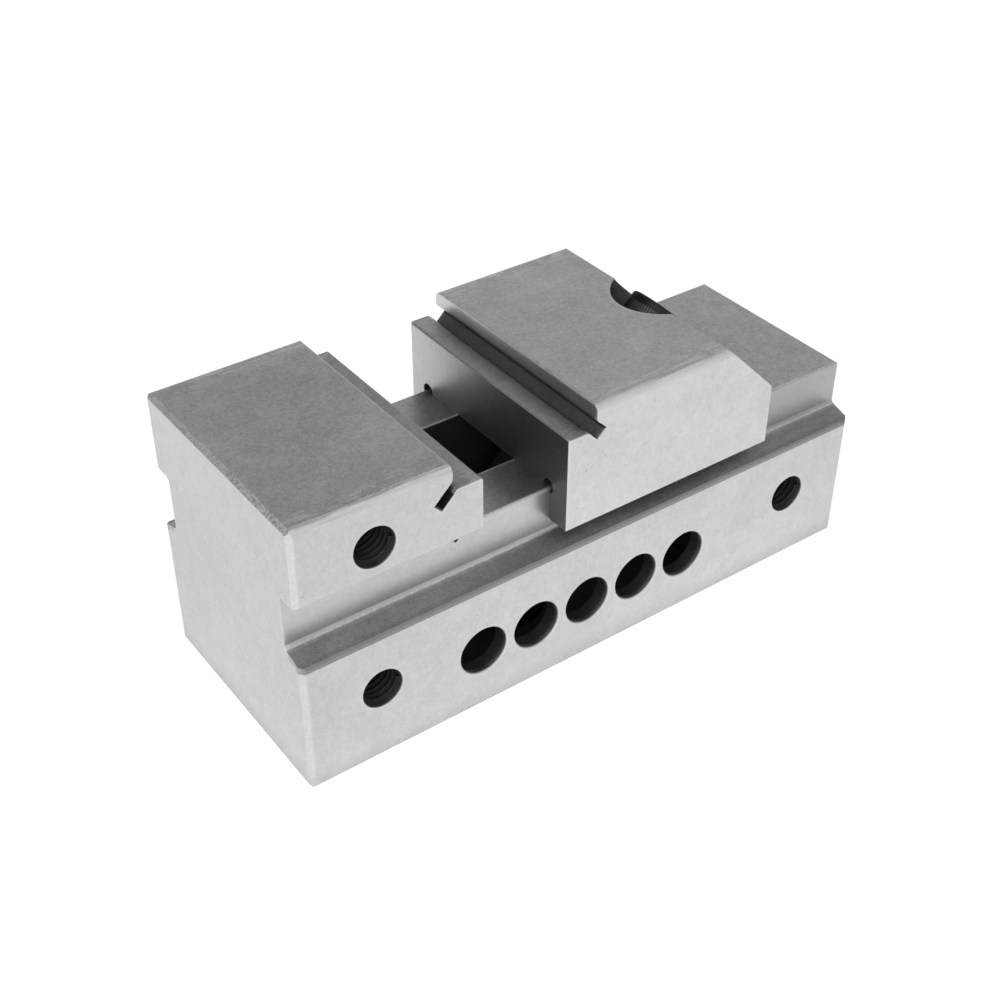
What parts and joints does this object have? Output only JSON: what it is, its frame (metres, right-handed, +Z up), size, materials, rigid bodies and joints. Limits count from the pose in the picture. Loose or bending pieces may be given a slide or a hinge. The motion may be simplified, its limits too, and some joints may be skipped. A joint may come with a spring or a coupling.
{
  "type": "precision machine vise",
  "caption": "Small ground-steel toolmaker's vise with a moving jaw on a rail, pulled down and forward by a slanted screw and a cross pin.",
  "frame": {"origin": "centre of the foot, at its underside", "axes": "+X along the rail from the fixed jaw towards the open end, +Z up"},
  "size_m": [0.1284, 0.05, 0.0572],
  "materials": {
    "ground_steel": "surface ground",
    "black_oxide_steel": "black oxide",
    "hardened_steel": "hardened and polished",
    "machined_steel": "as machined"
  },
  "bodies": {
    "body": {"body": "ground_steel"},
    "moving_jaw": {"moving_jaw": "ground_steel"},
    "ball_washer": {"ball_washer": "hardened_steel"},
    "clamp_screw": {"clamp_screw": "black_oxide_steel"},
    "draw_link": {"draw_link": "machined_steel", "cross_pin": "hardened_steel"}
  },
  "joints": [
    {"name": "jaw_slide", "type": "slide", "parent": "body", "child": "moving_jaw", "axis": [1, 0, 0], "range_m": [-0.0183, 0.0217]},
    {"name": "screw_swing", "type": "hinge", "parent": "moving_jaw", "child": "ball_washer", "pos_m": [0.03434, 0, 0.05329], "axis": [0, -1, 0], "range_deg": [0, 2]},
    {"name": "screw_turn", "type": "hinge", "parent": "ball_washer", "child": "clamp_screw", "pos_m": [0.03434, 0, 0.05329], "axis": [-0.7071, 0, -0.7071], "range_deg": [0, 900]},
    {"name": "nut_draw", "type": "slide", "parent": "ball_washer", "child": "draw_link", "axis": [0.7071, 0, 0.7071], "range_m": [0, 0.00313]}
  ],
  "couplings": [
    {"joint": "screw_turn", "follows": "nut_draw", "rad_per_m": 5026.5}
  ]
}
